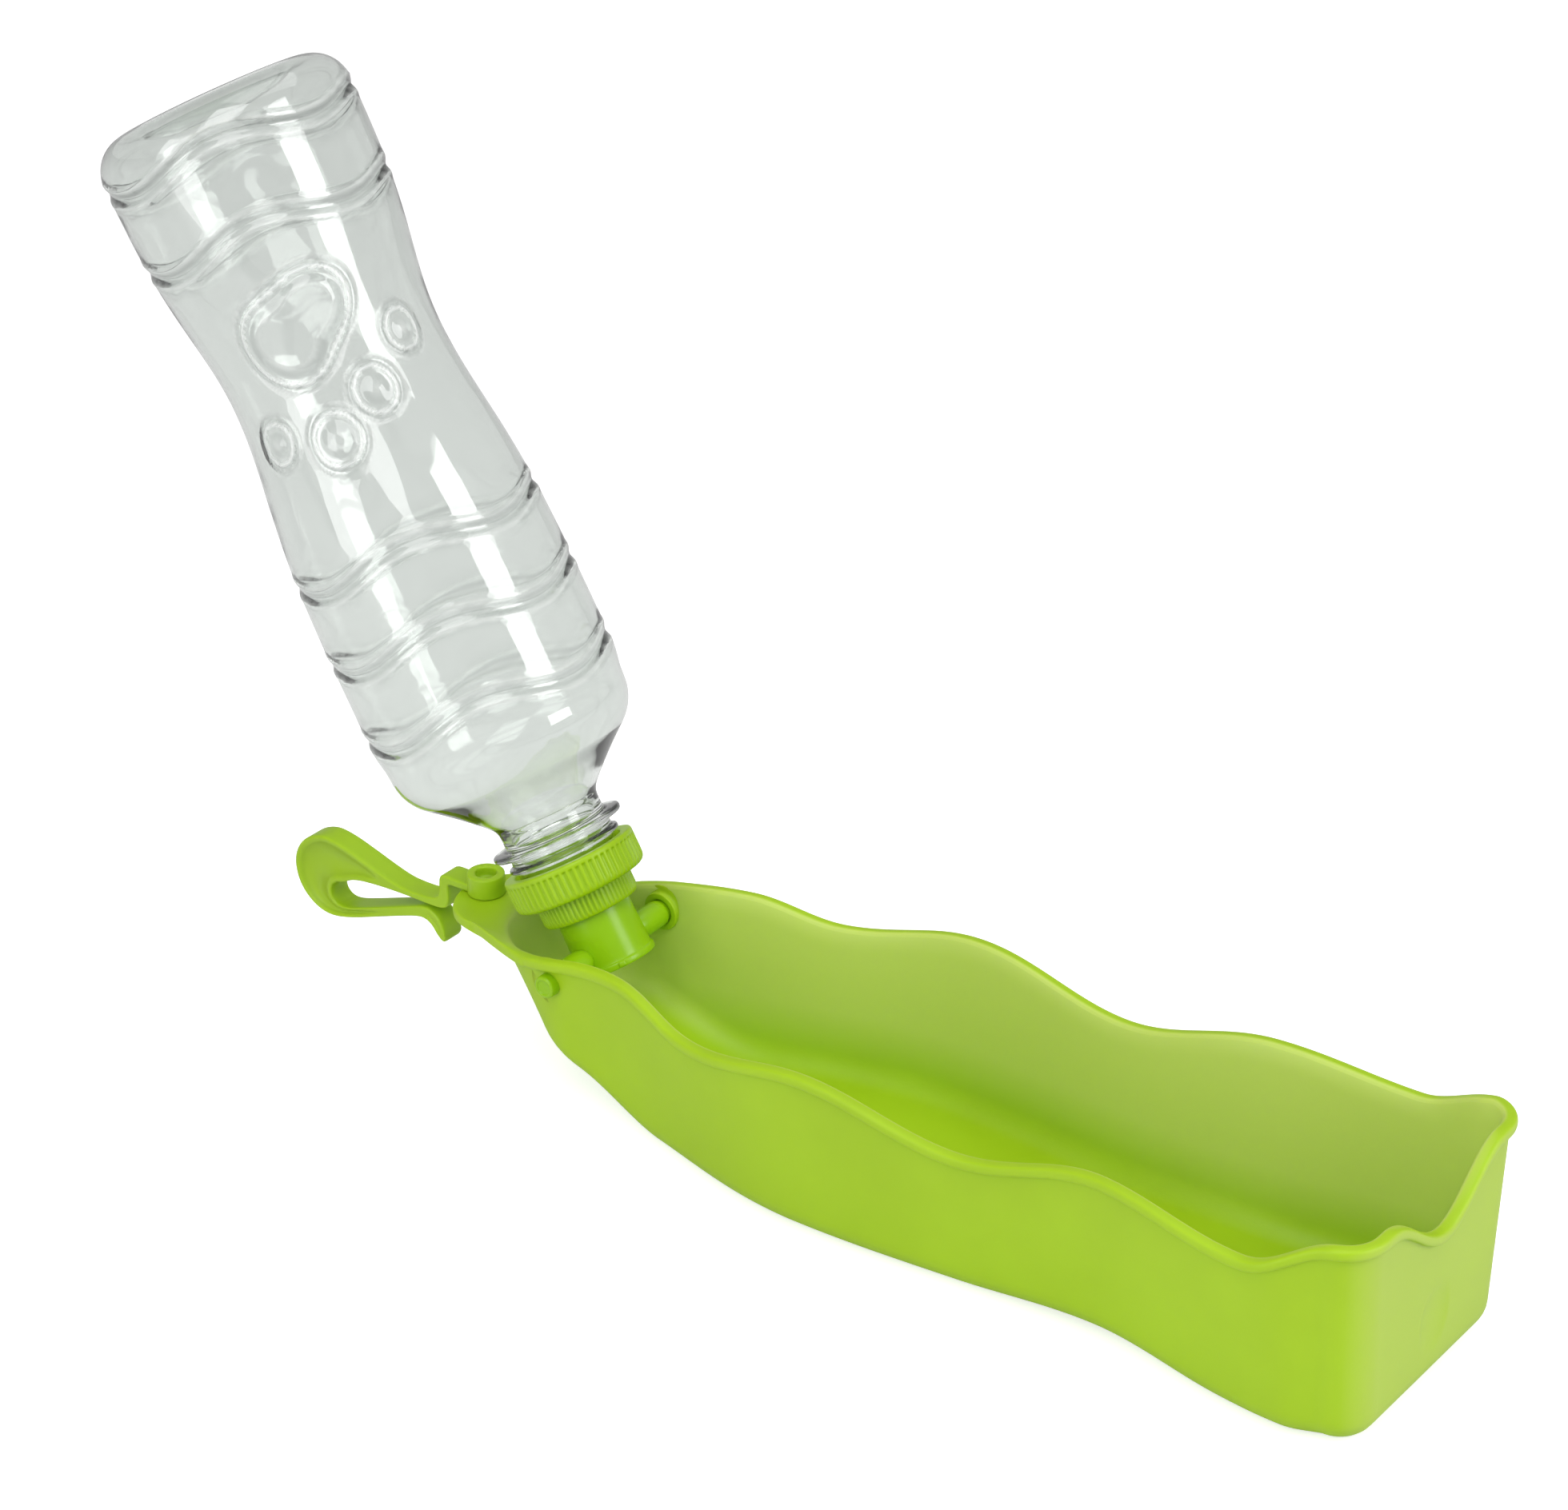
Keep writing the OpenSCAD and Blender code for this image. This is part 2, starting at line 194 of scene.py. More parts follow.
# The wall's section as (from the foot, share of the wall, from the rim, inside the face, share of the way
# to the tail's edge)
quarter = np.radians(np.linspace(0, 90, 10))
outer_foot = foot_curve(foot_round, 0, quarter)
face = [(0, g, 0, 0, 0) for g in np.linspace(0.04, 0.96, 24)]
bead = rounded([
    (0, 1, bead_height + below_bead, 0, 0), (0, 1, bead_height - 0.1, 0, 0),
    (0, 1, bead_height - 0.3, -0.9 * bead_out, 1), (0, 1, bead_height / 2, -1.15 * bead_out, 1),
    (0, 1, 0.2, -0.9 * bead_out, 1), (0, 1, -0.05, 0.2, 1), (0, 1, 0, wall - 0.5, 0),
    (0, 1, 0.9, wall, 0)], 2)
lining = [(0, g, 0, wall, 0) for g in np.linspace(0.96, 0.04, 20)]
inner_foot = foot_curve(foot_round - wall, wall, quarter[::-1])
section = np.array(outer_foot + face + list(bead) + lining + inner_foot)

rows = []
for from_foot, up_wall, from_rim, inset, to_tail in section:
    if from_rim or to_tail or up_wall == 1:
        z = rim_height - from_rim
    elif up_wall:
        face_height = rim_height - bead_height - below_bead - foot_height - foot_round
        z = foot_height + foot_round + face_height * up_wall
    else:
        z = foot_height + from_foot
    f = (z - foot_height) / (rim_height - foot_height)
    p = outline(f, inset)
    if to_tail:
        outward = tail_edge - outline(f, 0.0)
        outward /= np.linalg.norm(outward, axis=1)[:, None] + 1e-9
        plate = tail_edge - (bead_out + inset) * outward
        p = np.where(in_tail[:, None], (1 - to_tail) * p + to_tail * plate, p)
    rows.append(np.column_stack([p, z]))
rows = np.array(rows)

# A soft round dimple where the plastic was injected, in the middle of the end wall's outer face
dimple_at, dimple_wide, dimple_high, dimple_deep = 18.4, 6.2, 8.2, 0.9
from_dimple = (rows[:, :, 1] / dimple_wide) ** 2 + ((rows[:, :, 2] - dimple_at) / dimple_high) ** 2
end_face = (np.arange(len(section)) < len(outer_foot) + len(face))[:, None] & (kind == 3)[None, :]
rows[:, :, 0] -= np.where(end_face, dimple_deep * np.clip(1 - from_dimple, 0, 1) ** 0.7, 0)

# The floor's rows run in to the middle line, and the far side mirrors the near one
across = np.array([0.94, 0.85, 0.7, 0.5, 0.25, 0.0])
sole = np.array([rows[0] * [1, k, 1] for k in across[::-1]])
bed = np.array([rows[-1] * [1, k, 1] for k in across])
half = np.concatenate([sole, rows, bed])
ring = np.concatenate([half * [1, -1, 1], half[:, -2:0:-1]], axis=1)
trough = surface("trough_shell", ring, round_v=True)


def blank_material(name):
    """A new material, with its nodes, its links and its main shader."""
    material = bpy.data.materials.new(name)
    material.use_nodes = True
    tree = material.node_tree
    return material, tree.nodes, tree.links, tree.nodes["Principled BSDF"]


def lime_plastic(name, colour, roughness, glow, grain):
    """Moulded polypropylene: the colour drifts a little with slow noise, light goes a short way in,
    and the skin has a fine grain over slow waviness. Measures are in metres on Object coordinates."""
    material, nodes, links, shader = blank_material(name)
    place = nodes.new("ShaderNodeTexCoord")
    drift = nodes.new("ShaderNodeTexNoise")
    drift.inputs["Scale"].default_value = 22
    drift.inputs["Detail"].default_value = 3
    tones = nodes.new("ShaderNodeValToRGB")
    tones.color_ramp.elements[0].position, tones.color_ramp.elements[1].position = 0.3, 0.7
    tones.color_ramp.elements[0].color = [c * 0.94 for c in colour] + [1]
    tones.color_ramp.elements[1].color = [min(1, c * 1.05 + 0.004) for c in colour] + [1]
    links.new(place.outputs["Object"], drift.inputs["Vector"])
    links.new(drift.outputs["Fac"], tones.inputs["Fac"])
    links.new(tones.outputs["Color"], shader.inputs["Base Color"])
    fine = nodes.new("ShaderNodeTexNoise")
    fine.inputs["Scale"].default_value = 1400
    fine.inputs["Detail"].default_value = 2
    links.new(place.outputs["Object"], fine.inputs["Vector"])
    dull = nodes.new("ShaderNodeMapRange")
    dull.inputs["To Min"].default_value = roughness - 0.05
    dull.inputs["To Max"].default_value = roughness + 0.06
    links.new(drift.outputs["Fac"], dull.inputs["Value"])
    links.new(dull.outputs["Result"], shader.inputs["Roughness"])
    skin = nodes.new("ShaderNodeBump")
    skin.inputs["Strength"].default_value = grain
    skin.inputs["Distance"].default_value = 0.00006
    links.new(fine.outputs["Fac"], skin.inputs["Height"])
    links.new(skin.outputs["Normal"], shader.inputs["Normal"])
    shader.inputs["IOR"].default_value = 1.49
    shader.inputs["Specular IOR Level"].default_value = 0.4
    shader.inputs["Subsurface Weight"].default_value = glow
    shader.inputs["Subsurface Radius"].default_value = (1.0, 1.0, 0.2)
    shader.inputs["Subsurface Scale"].default_value = 0.0025
    return material


def vertices_of(piece):
    """A piece's vertices in millimetres from the hinge's foot, and their normals."""
    found = []
    for what in ("co", "normal"):
        values = np.zeros(len(piece.data.vertices) * 3, np.float32)
        piece.data.vertices.foreach_get(what, values)
        found.append(values.reshape(-1, 3))
    return (found[0] - hinge) * 1000, found[1]


def paint(piece, name, amounts):
    """Keeps an amount for each vertex, for the piece's material to read."""
    piece.data.attributes.new(name, "FLOAT", "POINT").data.foreach_set("value", amounts.astype(np.float32))


trough.data.materials.append(lime_plastic("lime trough plastic", (0.385, 0.60, 0.006), 0.46, 0.35, 0.35))

# Painted light: daylight comes through the thin walls and falls on the end wall, so the lining and the end
# wall's outer face are painted paler and milkier than the rest
trough_points, facing = vertices_of(trough)
spine_end = 195
spine = np.stack([np.clip(trough_points[:, 0], 0, spine_end), 0 * trough_points[:, 0]], -1)
from_spine = trough_points[:, :2] - spine
from_spine /= np.linalg.norm(from_spine, axis=1)[:, None] + 1e-9
inward = -(from_spine * facing[:, :2]).sum(axis=1)
lining_painted_light = np.clip(1.6 * inward, 0, 1) * np.clip((trough_points[:, 2] - 4) / 14, 0, 1)
# Painted light: faces turned towards +X, the end wall's outer face, get half as much again
end_painted_light = 0.5 * np.clip(2 * facing[:, 0] - 1, 0, 1)
paint(trough, "painted_through_light", lining_painted_light + end_painted_light)
nodes, links = trough.data.materials[0].node_tree.nodes, trough.data.materials[0].node_tree.links
amount = nodes.new("ShaderNodeAttribute")
amount.attribute_name = "painted_through_light"
# Painted light: a paler, milkier green is mixed into the base colour by the painted amount
painted_light_tone = nodes.new("ShaderNodeMixRGB")
painted_light_tone.inputs["Color2"].default_value = (0.56, 0.70, 0.14, 1)
links.new(amount.outputs["Fac"], painted_light_tone.inputs["Fac"])
links.new(nodes["Color Ramp"].outputs["Color"], painted_light_tone.inputs["Color1"])
links.new(painted_light_tone.outputs["Color"], nodes["Principled BSDF"].inputs["Base Color"])
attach(trough, "trough")
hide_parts("trough")


def revolved(name, profile, turns=96, base=pivot, axis=(0.0, 1.0, 0.0), across=(1.0, 0.0, 0.0),
             closed=False):
    """A profile of (radius, distance) carried round an axis through base, starting from the direction across.
    Millimetres from the hinge's foot."""
    profile, axis, across = np.array(profile, float), np.array(axis, float), np.array(across, float)
    third = np.cross(axis, across)
    a = np.linspace(0, 2 * np.pi, turns, endpoint=False)[None, :, None]
    spokes = np.cos(a) * across + np.sin(a) * third
    points = np.array(base) + profile[:, None, 1:] * axis + profile[:, None, :1] * spokes
    return surface(name, points, round_u=closed, round_v=True)


# The collars that the hinge's arms turn against, inside both walls
collar_profile = rounded([
    (3.0, 21.3), (3.0, 19.4), (4.6, 19.4), (4.9, 19.6), (4.9, 20.6), (6.4, 21.0), (6.4, 21.3)], 3)
for side, name in ((-1.0, "collar_near"), (1.0, "collar_far")):
    collar = revolved(name, collar_profile, axis=(0, side, 0), closed=True)
    collar.data.materials.append(trough.data.materials[0])
    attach(collar, "trough")


# ---------------------------------------------------------------- belt hook
# A hairpin strap of polypropylene that springs open over a belt. It widens
# into a web at its bend, and a hollow boss swivels on the trough's tail.
hook_width, hook_edge = 6.5, 0.5
stud_x = -38.5
# Pairs of points along the strap, on its outer and its inner edge: x and z of each
strap = [
    (-38.5, 38.35, -38.5, 36.25), (-46, 38.35, -46, 36.25), (-50.6, 38.35, -48.6, 36.25),
    (-51.4, 36.9, -48.6, 34.4), (-51.5, 32.6, -48.6, 31.2), (-53, 30.8, -49.6, 28.8),
    (-57, 30.2, -54, 28.4), (-62, 30.1, -60, 28.5), (-66, 30.5, -66, 28.4), (-71, 31.9, -72, 28.2),
    (-77, 33.9, -80, 27.4), (-84.65, 36.26, -84.5, 25.0), (-91, 36.9, -86.6, 24.6),
    (-97.5, 33.4, -88.2, 23.0), (-100.5, 27.5, -88.6, 21.4), (-99.6, 20.6, -88.2, 19.6),
    (-95.2, 15.7, -86.6, 18.2), (-89.4, 13.9, -83.8, 18.0), (-82, 15.6, -78, 19.9),
    (-74.4, 18.4, -72, 22.05), (-66, 21.4, -66, 24.2), (-59.6, 23.6, -61, 26), (-56.8, 23.9, -58.2, 27),
    (-54.6, 22.7, -55.2, 27.3), (-53.2, 20.6, -51.8, 25), (-51.8, 19.2, -50.6, 22.2),
    (-51.0, 19.0, -50.5, 20.6)]
strap = rounded(strap, 3)
strap_outer, strap_inner = strap[:, :2], strap[:, 2:]
thick = np.linalg.norm(strap_inner - strap_outer, axis=1)
# Where the strap is thick, as at the web, both of its sides are recessed between two edges
recess = 0.85 * np.clip((thick - 4.0) / 2.0, 0, 1)
broad = hook_width / 2
bend = hook_edge * (1 - math.sqrt(0.5))
none, full = np.zeros_like(thick), np.ones_like(thick)
span = thick - 2 * hook_edge
edge, flank = np.clip(1.2 / span, 0.1, 0.35), np.clip(0.3 / span, 0.02, 0.1)
# One half of the section, as depth from the outer edge and distance from the middle plane
shares = [none, 0.02 * full, edge, edge + flank, 0.5 * full, 1 - edge - flank, 1 - edge, 0.98 * full, full]
depth = ([none, none, none, bend * full] + [hook_edge + span * share_of for share_of in shares]
         + [thick - bend, thick, thick, thick])
corner = [none, (broad / 2) * full, (broad - hook_edge) * full, (broad - bend) * full,
          broad * full, broad * full]
recessed = [broad - 0.2 * recess, broad - recess, broad - recess, broad - recess, broad - 0.2 * recess]
reach_out = corner + recessed + corner[::-1]
depth, reach_out = np.array(depth + depth[-2:0:-1]), np.array(reach_out + [-r for r in reach_out[-2:0:-1]])
inwards = (strap_inner - strap_outer) / thick[:, None]
strip = np.stack([strap_outer[:, 0] + depth * inwards[:, 0], reach_out,
                  strap_outer[:, 1] + depth * inwards[:, 1]], -1).transpose(1, 0, 2)
# Both ends are closed, and the tip is a little rounded
first, last = strip[:1], strip[-1:]
root, tip = first.mean(axis=1, keepdims=True), last.mean(axis=1, keepdims=True)
root_rows = [root + 0 * first, root + 0.7 * (first - root)]
tip_rows = [tip + 0.75 * (last - tip) + [[[0.25, 0, -0.1]]], tip + [[[0.3, 0, -0.15]]] + 0 * last]
hook = surface("hook_strap", np.concatenate(root_rows + [strip] + tip_rows), round_v=True)
boss_profile = rounded([
    (0, 31.6), (1.5, 31.6), (1.5, 30.6), (2.8, 30.6), (3.75, 32.2), (3.0, 32.3), (3.0, 36.25),
    (4.7, 36.25), (4.7, 36.4), (4.7, 41.2), (4.5, 41.6), (2.9, 41.6), (2.6, 41.3), (2.6, 39.0),
    (1.5, 38.9), (1.5, 36.0), (0, 36.0)], 2)
boss = revolved("hook_boss", boss_profile, base=(stud_x, 0, 0), axis=(0, 0, 1), turns=72)
hook_plastic = lime_plastic("lime hook plastic", (0.36, 0.57, 0.01), 0.4, 0.25, 0.25)
for piece in (hook, boss):
    piece.data.materials.append(hook_plastic)
    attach(piece, "hook")
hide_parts("belt_hook")


# ---------------------------------------------------------------- pivot barrel
# The bottle's hinge is a hollow moulded barrel with a thin flange round its
# mouth. Two arms run out to the walls and end in pins that snap through them.
lean = math.radians(30)
bottle_axis = (-math.sin(lean), 0.0, math.cos(lean))
bottle_front = (math.cos(lean), 0.0, math.sin(lean))


def round_bottle(distance, radius, turn):
    """Points at distances along the bottle's axis, radii from it and turns round it from its front."""
    spokes = (np.cos(turn)[..., None] * np.array(bottle_front)
              + np.sin(turn)[..., None] * np.array([0.0, 1.0, 0.0]))
    return np.array(pivot) + distance[..., None] * np.array(bottle_axis) + radius[..., None] * spokes


barrel_radius, barrel_bore, barrel_mouth, deck = 9.6, 7.6, -4.8, 12.4
barrel_profile = rounded([
    (0, deck), (10.1, deck), (10.5, deck - 0.3), (10.5, 10.7), (9.2, 10.7), (9.2, 9.3),
    (barrel_radius - 0.1, -2.7), (barrel_radius, -3.0), (10.0, -3.2), (10.0, -4.5), (9.7, barrel_mouth),
    (barrel_bore + 0.2, barrel_mouth), (barrel_bore, -4.6), (barrel_bore, 10.4), (0, 10.4)], 2)
barrel = revolved("barrel_tube", barrel_profile, axis=bottle_axis, across=bottle_front, turns=120)
barrel_plastic = lime_plastic("glossy lime barrel plastic", (0.29, 0.545, 0.0), 0.26, 0.1, 0.15)
pieces = [barrel]
arm_profile = rounded([
    (0, 8.4), (3.35, 8.4), (3.35, 18.6), (3.1, 19.0), (2.9, 19.0), (2.9, 24.3), (2.5, 24.8),
    (1.9, 24.8), (1.8, 24.5), (0, 24.5)], 2)
for side, name in ((-1.0, "arm_near"), (1.0, "arm_far")):
    pieces.append(revolved(name, arm_profile, axis=(0, side, 0), turns=64))
# The gate's stub, left on the mouth's flange where the moulding was cut off
u, v = np.meshgrid(np.linspace(-1, 1, 9), np.linspace(-1, 1, 9), indexing="ij")
stub_height = 0.45 * (1 - u ** 6) * (1 - v ** 6)
stub = round_bottle(-3.9 + 0.7 * v, 9.85 + stub_height, math.radians(-37) + 0.11 * u)
pieces.append(surface("gate_stub", stub))
for piece in pieces:
    piece.data.materials.append(barrel_plastic)
    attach(piece, "barrel")
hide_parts("pivot_barrel")


# ---------------------------------------------------------------- seals
# Soft black rubber seals lie between the barrel and the cap and under the
# bottle's lip. They are cut and moulded plainly, and stay CAD nodes.
seal, nodes, links, shader = blank_material("seal rubber")
cloud = nodes.new("ShaderNodeTexNoise")
cloud.inputs["Scale"].default_value = 600
place = nodes.new("ShaderNodeTexCoord")
links.new(place.outputs["Object"], cloud.inputs["Vector"])
tones = nodes.new("ShaderNodeValToRGB")
tones.color_ramp.elements[0].color = (0.014, 0.015, 0.014, 1)
tones.color_ramp.elements[1].color = (0.026, 0.028, 0.026, 1)
links.new(cloud.outputs["Fac"], tones.inputs["Fac"])
links.new(tones.outputs["Color"], shader.inputs["Base Color"])
shader.inputs["Roughness"].default_value = 0.6
for name in ("valve_disc", "o_ring", "neck_washer"):
    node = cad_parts[name]
    node.data.materials.clear()
    node.data.materials.append(seal)


# ---------------------------------------------------------------- screw cap
# The cap turns on the barrel to open the valve. It has two rings of fine
# moulded ribs for the fingers, a small one below a large one.
step_radius, cap_radius, ribs, rib_depth = 12.2, 16.7, 60, 0.55
# The section from inside the snap groove round the outside to the thread's floor, as (radius, distance,
# share of the ribs' depth)
cap_section = rounded([
    (0, 13.9, 0), (10.6, 13.9, 0), (10.6, 10.6, 0), (9.7, 10.6, 0), (9.7, 9.6, 0), (10.6, 9.6, 0),
    (11.6, 9.75, 0.1), (12.1, 10.6, 0.8), (step_radius, 11.4, 1), (step_radius, 12.6, 1),
    (step_radius, 14.0, 1), (step_radius, 15.3, 1), (step_radius, 15.45, 0), (14.6, 15.4, 0),
    (15.9, 15.75, 0.1), (16.55, 16.6, 0.7), (cap_radius, 17.6, 1), (cap_radius, 19.4, 1),
    (cap_radius, 21.2, 1), (cap_radius, 22.7, 1), (cap_radius, 22.9, 0), (cap_radius, 23.7, 0),
    (cap_radius - 0.3, 24.2, 0), (15.0, 24.2, 0), (13.9, 24.2, 0), (13.9, 23.6, 0), (13.9, 16.3, 0),
    (0, 16.3, 0)], 1)
cap_turns = np.linspace(0, 2 * np.pi, ribs * 10, endpoint=False)
crest = np.clip(0.5 + 1.1 * np.cos(ribs * cap_turns), 0, 1)
crest = crest * crest * (3 - 2 * crest)
cap_radii = cap_section[:, :1] - rib_depth * cap_section[:, 2:] * (1 - crest[None, :])
cap = surface("cap_ribbed", round_bottle(cap_section[:, 1, None], cap_radii, cap_turns), round_v=True)
cap.data.materials.append(lime_plastic("lime cap plastic", (0.335, 0.55, 0.0), 0.36, 0.1, 0.3))
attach(cap, "cap")
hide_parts("screw_cap")


# ---------------------------------------------------------------- bottle
# A blown bottle of clear polyester with a thick moulded neck. Five waved
# grooves run round it, and a paw print is pressed into its narrow waist.
bottle_wall = 0.5
body_radius, waist_depth, waist_at = 31.5, 5.1, 153.0
base_at, heel_radius = 221.0, 9.0
waves = [67.3, 87.2, 107.0, 188.0, 208.3]
wave_height, waves_round, wave_phase = 2.3, 4, math.radians(49)
groove_depth, ridge_height = 0.5, 0.2
# The relief fades out towards the shoulder and the heel, and the inner face follows this share of it
relief_from, relief_to, inner_relief = 56, base_at - 5, 0.15
# The paw's toes as (place along the axis, degrees round it, radius), its pad, and the radius they lie on
toes = [(154.1, -1.5, 5.4), (144.0, -29.4, 6.0), (137.1, -57.0, 6.7), (141.6, -89.7, 5.4)]
pad_at, pad_turn, pad_size = (164.2, -52.3), math.radians(30), 13.2
print_radius = 27.0


def girth(s):
    """The body's radius: full, less a bell-shaped waist that fades faster towards the base."""
    fade = np.where(s < waist_at, 31.0, 26.0)
    return body_radius - waist_depth * np.exp(-((s - waist_at) / fade) ** 2)


def pressed(distance, dome):
    """A pressed print at a distance inside its outline: a fine groove on the outline, a low ridge within
    it, and a dome."""
    inner = np.clip((distance - 1.4) / 4.2, 0, 1)
    return (-0.42 * np.exp(-((distance + 0.4) / 0.75) ** 2) + 0.32 * np.exp(-((distance - 0.9) / 0.7) ** 2)
            + dome * np.sin(np.pi / 2 * inner) ** 2)


def relief(s, turn):
    """How far the wall stands out at s along the axis and turn round it: five grooves that wave four times
    round the body, and the paw's pad and toes, each found from its outline's distance."""
    out = np.zeros_like(s)
    for at in waves:
        d = s - at - wave_height * np.cos(waves_round * (turn + wave_phase))
        ridges = ridge_height * np.exp(-((np.abs(d) - 2.3) / 0.9) ** 2)
        out += -groove_depth * np.exp(-(d / 1.1) ** 2) + ridges
    for at, where, size in toes:
        du, ds = print_radius * (turn - math.radians(where)), s - at
        out += pressed(size - np.hypot(du * 1.04, ds * 0.94), 0.75)
    du, ds = print_radius * (turn - math.radians(pad_at[1])), s - pad_at[0]
    around = np.arctan2(ds, du) - pad_turn
    rim = pad_size * (1 + 0.17 * np.cos(2 * around) + 0.06 * np.cos(3 * around))
    out += pressed(rim - np.hypot(du, ds), 1.2)
    return out


def relief_share(s):
    """1 where the wall carries the relief, fading to 0 towards the shoulder and the heel."""
    return np.clip((s - relief_from) / 4, 0, 1) * np.clip((relief_to - s) / 3, 0, 1)


def stations_of(stretches):
    """Places along the listed (end, spacing) stretches, one after the other from the first listed place."""
    places = [stretches[0][0]]
    for end, spacing in stretches[1:]:
        steps = max(1, round((end - places[-1]) / spacing))
        places += list(places[-1] + (end - places[-1]) * np.arange(1, steps + 1) / steps)
    return np.array(places)


# The grid is fine where the waves and the paw print are, and coarse between them
along_body = stations_of([
    (60.5, 0), (62, 1.5), (73, 0.62), (82, 2.2), (93, 0.62), (102, 2.2), (113, 0.62), (129, 2.2),
    (180.5, 0.66), (183, 2.2), (194, 0.62), (203, 2.2), (211.5, 0.62)])
round_body = np.radians(stations_of([(-114, 0), (14, 1.3), (246, 2.5)])[:-1])


def body_profile(s, inset):
    """The shoulder, body, heel and hollow base as (radius, distance), inset inside the outer face."""
    shoulder_turn = np.radians(np.linspace(-52, 0, 16))
    shoulder_radius = 13 - inset
    shoulder = np.stack([17.5 + shoulder_radius * np.cos(shoulder_turn),
                         58 + shoulder_radius * np.sin(shoulder_turn)], -1)
    body = np.stack([girth(s) - 1.0 * (1 - ease((s - 58) / 8)) - inset, s], -1)
    heel_turn = np.radians(np.linspace(4, 80, 12))
    heel = np.stack([body_radius - heel_radius + (heel_radius - inset) * np.cos(heel_turn),
                     base_at - heel_radius + (heel_radius - inset) * np.sin(heel_turn)], -1)
    hollow = rounded([
        (23.4, base_at - 0.2 - inset), (20.0, base_at - 0.7 - inset), (17.5, base_at - 2.6 - inset),
        (9, base_at - 4.4 - inset), (0, base_at - 4.8 - inset)], 2)
    return np.concatenate([shoulder, body, heel, hollow])


neck_outside = rounded([
    (12.4, 17.6), (12.6, 17.9), (12.6, 24.6), (12.6, 25.2), (14.1, 25.3), (14.2, 25.9), (14.0, 26.5),
    (12.9, 26.8), (12.9, 28.9), (16.1, 29.1), (16.5, 29.6), (16.5, 30.4), (16.1, 30.8), (12.9, 31.1),
    (12.7, 33.0), (12.8, 35.4), (13.6, 37.0), (16.5, 39.9), (20.5, 43.6), (24.3, 46.8)], 2)
neck_inside = rounded([
    (11.0, 17.6), (10.8, 17.9), (10.8, 33.6), (11.6, 36.4), (15.3, 40.4), (19.9, 44.3), (23.7, 47.1)], 2)
# One closed section: up the outside to the middle of the base, and back down the inside to the lip
outer_wall = np.concatenate([neck_outside, body_profile(along_body, 0.0)])
inner_wall = np.concatenate([neck_inside, body_profile(along_body[::2], bottle_wall)])
bottle_section = np.concatenate([outer_wall, inner_wall[::-1]])
distances = bottle_section[:, 1:] + 0 * round_body
shares = relief_share(bottle_section[:, 1:])
shares[len(outer_wall):] *= inner_relief
radii = bottle_section[:, :1] + shares * relief(distances, round_body + 0 * distances)
bottle = surface("bottle_blown", round_bottle(distances, radii, round_body), round_u=True, round_v=True)

# Painted shade and painted highlight: where the wall is pressed it bends light aside, so the flanks of the
# grooves are painted darker and the ridges get a painted highlight.
# Both are found from the relief a small way off on all four sides of each vertex.
bottle_points = vertices_of(bottle)[0] - np.array(pivot)
distance = bottle_points @ np.array(bottle_axis)
fore, aside = bottle_points @ np.array(bottle_front), bottle_points[:, 1]
turn = np.arctan2(aside, fore)
off = 0.5
here, ahead, behind = relief(distance, turn), relief(distance + off, turn), relief(distance - off, turn)
to_left, to_right = relief(distance, turn + off / print_radius), relief(distance, turn - off / print_radius)
slope = np.hypot(ahead - behind, to_left - to_right) / (2 * off)
bulge = (4 * here - ahead - behind - to_left - to_right) / off ** 2
# Painted shade: the moulded rim round the hollow base is painted darker too
base_ring_shade = np.exp(-((np.hypot(fore, aside) - 21.0) / 2.2) ** 2)
base_ring_shade *= np.clip((distance - base_at + 7) / 3, 0, 1)
paint(bottle, "painted_shade", relief_share(distance) * np.clip(1.8 * slope, 0, 1) + 0.7 * base_ring_shade)
paint(bottle, "painted_glint", relief_share(distance) * np.clip(0.8 * bulge - 0.12, 0, 1))

polyester, nodes, links, shader = blank_material("clear polyester")
# Painted shade: the clear tint is mixed towards a greyer one where the painted shade lies
painted_shade = nodes.new("ShaderNodeAttribute")
painted_shade.attribute_name = "painted_shade"
painted_shade_tint = nodes.new("ShaderNodeMixRGB")
painted_shade_tint.inputs["Color1"].default_value = (0.86, 0.885, 0.865, 1)
painted_shade_tint.inputs["Color2"].default_value = (0.66, 0.69, 0.67, 1)
links.new(painted_shade.outputs["Fac"], painted_shade_tint.inputs["Fac"])
links.new(painted_shade_tint.outputs["Color"], shader.inputs["Base Color"])
shader.inputs["Transmission Weight"].default_value = 1.0
shader.inputs["IOR"].default_value = 1.575
place = nodes.new("ShaderNodeTexCoord")
uneven = nodes.new("ShaderNodeTexNoise")
uneven.inputs["Scale"].default_value = 38
uneven.inputs["Detail"].default_value = 2
links.new(place.outputs["Object"], uneven.inputs["Vector"])
ripple = nodes.new("ShaderNodeBump")
ripple.inputs["Strength"].default_value = 0.35
ripple.inputs["Distance"].default_value = 0.0006
links.new(uneven.outputs["Fac"], ripple.inputs["Height"])
links.new(ripple.outputs["Normal"], shader.inputs["Normal"])
haze = nodes.new("ShaderNodeMapRange")
haze.inputs["To Min"].default_value = 0.015
haze.inputs["To Max"].default_value = 0.045
links.new(uneven.outputs["Fac"], haze.inputs["Value"])
links.new(haze.outputs["Result"], shader.inputs["Roughness"])
# Light falls through the wall on to what stands behind it, so the shadow is a faint one
path = nodes.new("ShaderNodeLightPath")
through = nodes.new("ShaderNodeBsdfTransparent")
through.inputs["Color"].default_value = (0.88, 0.9, 0.88, 1)
either = nodes.new("ShaderNodeMixShader")
links.new(path.outputs["Is Shadow Ray"], either.inputs["Fac"])
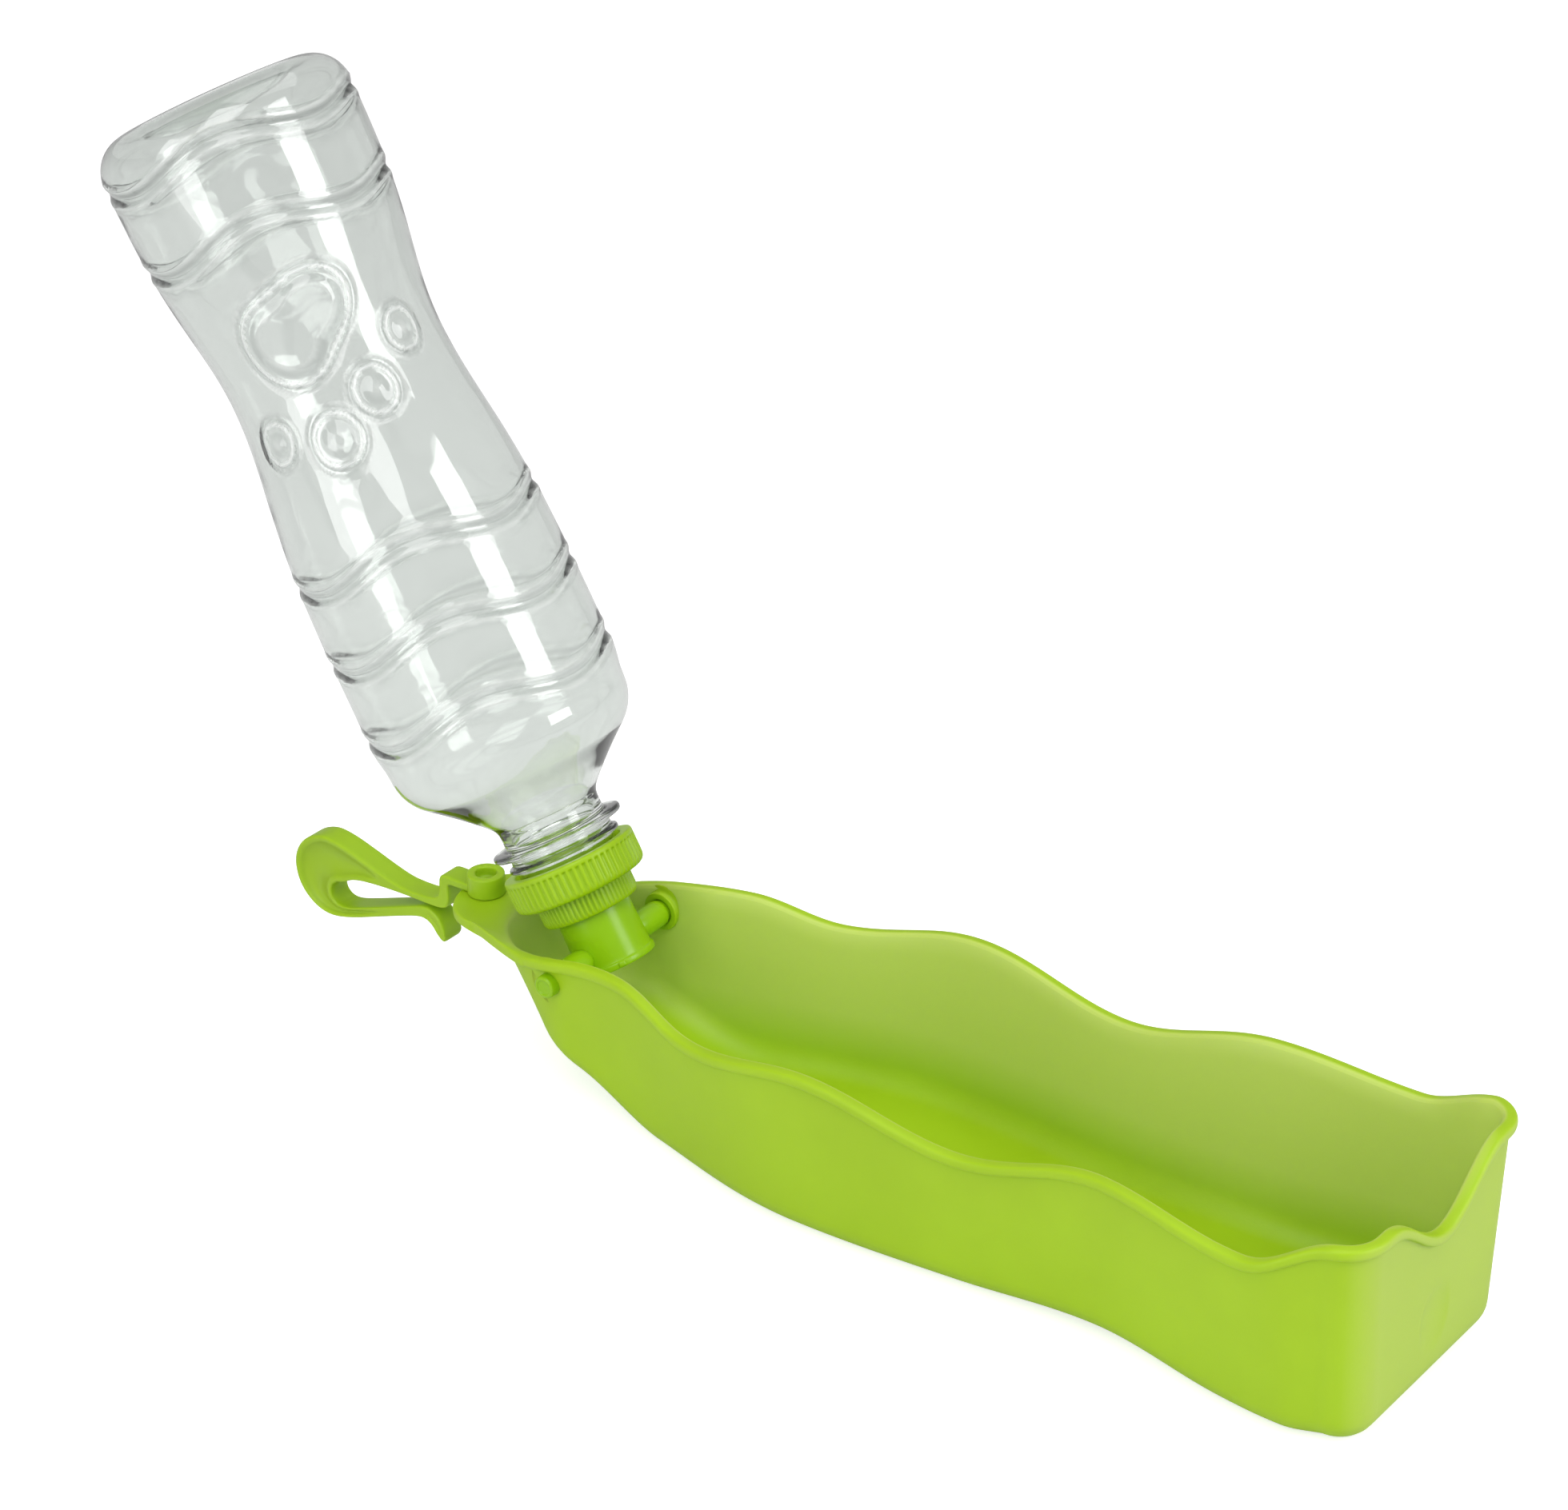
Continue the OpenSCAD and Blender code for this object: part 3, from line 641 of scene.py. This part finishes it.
# Painted highlight: a pale diffuse is mixed in where the painted glint lies, on the ridges
painted_glint = nodes.new("ShaderNodeAttribute")
painted_glint.attribute_name = "painted_glint"
painted_highlight_share = nodes.new("ShaderNodeMath")
painted_highlight_share.operation = "MULTIPLY"
painted_highlight_share.inputs[1].default_value = 0.5
links.new(painted_glint.outputs["Fac"], painted_highlight_share.inputs[0])
pale = nodes.new("ShaderNodeBsdfDiffuse")
pale.inputs["Color"].default_value = (0.93, 0.94, 0.93, 1)
ridges = nodes.new("ShaderNodeMixShader")
links.new(painted_highlight_share.outputs["Value"], ridges.inputs["Fac"])
links.new(shader.outputs["BSDF"], ridges.inputs[1])
links.new(pale.outputs["BSDF"], ridges.inputs[2])
links.new(ridges.outputs["Shader"], either.inputs[1])
links.new(through.outputs["BSDF"], either.inputs[2])
links.new(either.outputs["Shader"], nodes["Material Output"].inputs["Surface"])
bottle.data.materials.append(polyester)
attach(bottle, "bottle")
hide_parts("bottle")


# ---------------------------------------------------------------- studio
# A plain pale floor that goes white where no shadow lies, pale walls of
# light all round, and four soft lamps.
paper = bpy.data.meshes.new("floor")
paper.from_pydata([(-6, -6, 0), (6, -6, 0), (6, 6, 0), (-6, 6, 0)], [], [(0, 1, 2, 3)])
floor = bpy.data.objects.new("floor", paper)
bpy.context.scene.collection.objects.link(floor)
white, nodes, links, shader = blank_material("white paper")
shader.inputs["Base Color"].default_value = (0.8, 0.8, 0.8, 1)
shader.inputs["Roughness"].default_value = 0.9
shader.inputs["Specular IOR Level"].default_value = 0.1
# The paper glows for the camera, and a third as much for what is seen through the bottle
path = nodes.new("ShaderNodeLightPath")
shown_to = nodes.new("ShaderNodeMath")
shown_to.operation = "MULTIPLY_ADD"
shown_to.inputs[1].default_value = 0.35
links.new(path.outputs["Is Transmission Ray"], shown_to.inputs[0])
links.new(path.outputs["Is Camera Ray"], shown_to.inputs[2])
glow = nodes.new("ShaderNodeMapRange")
glow.inputs["To Max"].default_value = 0.65
links.new(shown_to.outputs["Value"], glow.inputs["Value"])
shader.inputs["Emission Color"].default_value = (1, 1, 1, 1)
links.new(glow.outputs["Result"], shader.inputs["Emission Strength"])
floor.data.materials.append(white)

world = bpy.data.worlds.new("studio")
bpy.context.scene.world = world
world.use_nodes = True
nodes, links = world.node_tree.nodes, world.node_tree.links
# The walls of light look white to the camera and through the bottle, and light the rest less
sky = nodes["Background"]
sky.inputs["Color"].default_value = (1.0, 1.0, 1.0, 1)
path = nodes.new("ShaderNodeLightPath")
seen = nodes.new("ShaderNodeMath")
seen.operation = "MAXIMUM"
links.new(path.outputs["Is Camera Ray"], seen.inputs[0])
links.new(path.outputs["Is Transmission Ray"], seen.inputs[1])
sky_strength = nodes.new("ShaderNodeMapRange")
sky_strength.inputs["To Min"].default_value = 0.36
sky_strength.inputs["To Max"].default_value = 1.0
links.new(seen.outputs["Value"], sky_strength.inputs["Value"])
links.new(sky_strength.outputs["Result"], sky.inputs["Strength"])

# Each lamp's place and width in metres and its power in watts; all are aimed at the trough's middle
aim = Vector((-0.03, 0, 0.06))
softboxes = [("left softbox", (-0.35, -1.5, 0.38), 0.75, 6.0),
             ("right softbox", (1.15, 0.15, 0.8), 0.6, 7.0),
             ("front softbox", (0.35, -0.9, 1.3), 0.9, 9.5),
             ("overhead", (0.0, 0.3, 1.5), 1.0, 4.0)]
for name, spot, size, power in softboxes:
    lamp = bpy.data.lights.new(name, "AREA")
    lamp.shape = "RECTANGLE"
    lamp.size, lamp.size_y = size, size * 1.3
    lamp.energy = power
    holder = bpy.data.objects.new(name, lamp)
    bpy.context.scene.collection.objects.link(holder)
    facing_aim = (Vector(spot) - aim).to_track_quat("Z", "Y").to_matrix().to_4x4()
    holder.matrix_world = Matrix.Translation(spot) @ facing_aim
